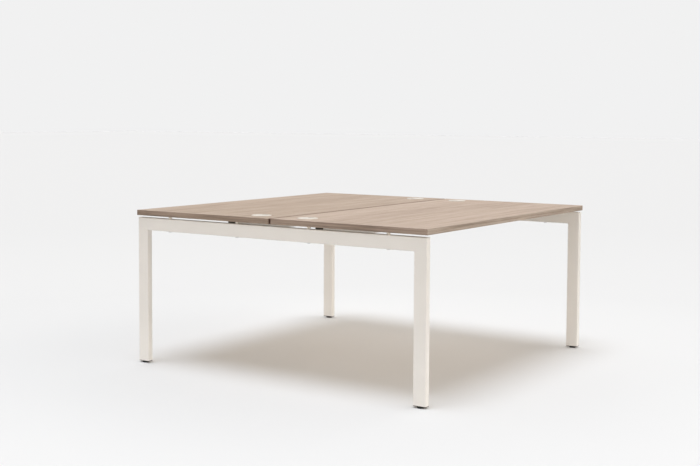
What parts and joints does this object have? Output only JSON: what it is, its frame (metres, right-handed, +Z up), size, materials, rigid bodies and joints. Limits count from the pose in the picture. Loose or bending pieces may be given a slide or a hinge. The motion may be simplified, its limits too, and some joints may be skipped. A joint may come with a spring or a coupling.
{
  "type": "benching desk",
  "caption": "Two wood-grain worktops edge to edge on one white tubular frame, with round cable grommets, spacer gap and levelling feet, for users facing each other.",
  "frame": {"origin": "on the floor under the middle of the desk, below the seam between the worktops", "axes": "+X along the seam and the users' width, +Y from the near user to the far user, +Z up"},
  "size_m": [1.6, 1.61, 0.7425],
  "materials": {
    "worktop_board": "matte wood-grain melamine on chipboard",
    "edge_band": "wood-grain edge band, matte",
    "white_frame": "fine matte powder coat",
    "zinc_steel": "bright zinc plate",
    "black_plastic": "moulded, matte",
    "foot_plastic": "moulded, satin",
    "white_plastic": "moulded, fine satin"
  },
  "bodies": {
    "frame": {"worktop_near": "worktop_board", "edge_band_near": "edge_band", "worktop_far": "worktop_board", "edge_band_far": "edge_band", "left_rail": "white_frame", "right_rail": "white_frame", "leg_left_near": "white_frame", "leg_left_far": "white_frame", "leg_right_near": "white_frame", "leg_right_far": "white_frame", "beam_near": "white_frame", "beam_far": "white_frame", "beam_cap_left_near": "black_plastic", "beam_cap_left_far": "black_plastic", "beam_cap_right_near": "black_plastic", "beam_cap_right_far": "black_plastic", "beam_bracket_left_near": "zinc_steel", "bracket_rail_bolt_left_near": "zinc_steel", "bracket_beam_bolt_left_near": "zinc_steel", "beam_bracket_left_far": "zinc_steel", "bracket_rail_bolt_left_far": "zinc_steel", "bracket_beam_bolt_left_far": "zinc_steel", "beam_bracket_right_near": "zinc_steel", "bracket_rail_bolt_right_near": "zinc_steel", "bracket_beam_bolt_right_near": "zinc_steel", "beam_bracket_right_far": "zinc_steel", "bracket_rail_bolt_right_far": "zinc_steel", "bracket_beam_bolt_right_far": "zinc_steel", "spacer_sleeve_left_1": "white_frame", "top_bolt_left_1": "zinc_steel", "spacer_sleeve_left_2": "white_frame", "top_bolt_left_2": "zinc_steel", "spacer_sleeve_left_3": "white_frame", "top_bolt_left_3": "zinc_steel", "spacer_sleeve_left_4": "white_frame", "top_bolt_left_4": "zinc_steel", "spacer_sleeve_right_1": "white_frame", "top_bolt_right_1": "zinc_steel", "spacer_sleeve_right_2": "white_frame", "top_bolt_right_2": "zinc_steel", "spacer_sleeve_right_3": "white_frame", "top_bolt_right_3": "zinc_steel", "spacer_sleeve_right_4": "white_frame", "top_bolt_right_4": "zinc_steel", "grommet_liner_left_near": "white_plastic", "leg_plug_left_near": "black_plastic", "grommet_liner_left_far": "white_plastic", "leg_plug_left_far": "black_plastic", "grommet_liner_right_near": "white_plastic", "leg_plug_right_near": "black_plastic", "grommet_liner_right_far": "white_plastic", "leg_plug_right_far": "black_plastic"},
    "foot_left_near": {"levelling_foot_left_near": "foot_plastic"},
    "foot_left_far": {"levelling_foot_left_far": "foot_plastic"},
    "foot_right_near": {"levelling_foot_right_near": "foot_plastic"},
    "foot_right_far": {"levelling_foot_right_far": "foot_plastic"},
    "lid_left_near": {"grommet_lid_left_near": "white_plastic"},
    "lid_left_far": {"grommet_lid_left_far": "white_plastic"},
    "lid_right_near": {"grommet_lid_right_near": "white_plastic"},
    "lid_right_far": {"grommet_lid_right_far": "white_plastic"}
  },
  "joints": [
    {"name": "foot_left_near_level", "type": "slide", "parent": "frame", "child": "foot_left_near", "axis": [0, 0, -1], "range_m": [0, 0.015]},
    {"name": "foot_left_far_level", "type": "slide", "parent": "frame", "child": "foot_left_far", "axis": [0, 0, -1], "range_m": [0, 0.015]},
    {"name": "foot_right_near_level", "type": "slide", "parent": "frame", "child": "foot_right_near", "axis": [0, 0, -1], "range_m": [0, 0.015]},
    {"name": "foot_right_far_level", "type": "slide", "parent": "frame", "child": "foot_right_far", "axis": [0, 0, -1], "range_m": [0, 0.015]},
    {"name": "lid_left_near_turn", "type": "hinge", "parent": "frame", "child": "lid_left_near", "pos_m": [-0.69, -0.13, 0.741], "axis": [0, 0, 1], "continuous": true},
    {"name": "lid_left_far_turn", "type": "hinge", "parent": "frame", "child": "lid_left_far", "pos_m": [-0.69, 0.13, 0.741], "axis": [0, 0, 1], "continuous": true},
    {"name": "lid_right_near_turn", "type": "hinge", "parent": "frame", "child": "lid_right_near", "pos_m": [0.69, -0.13, 0.741], "axis": [0, 0, 1], "continuous": true},
    {"name": "lid_right_far_turn", "type": "hinge", "parent": "frame", "child": "lid_right_far", "pos_m": [0.69, 0.13, 0.741], "axis": [0, 0, 1], "continuous": true}
  ]
}
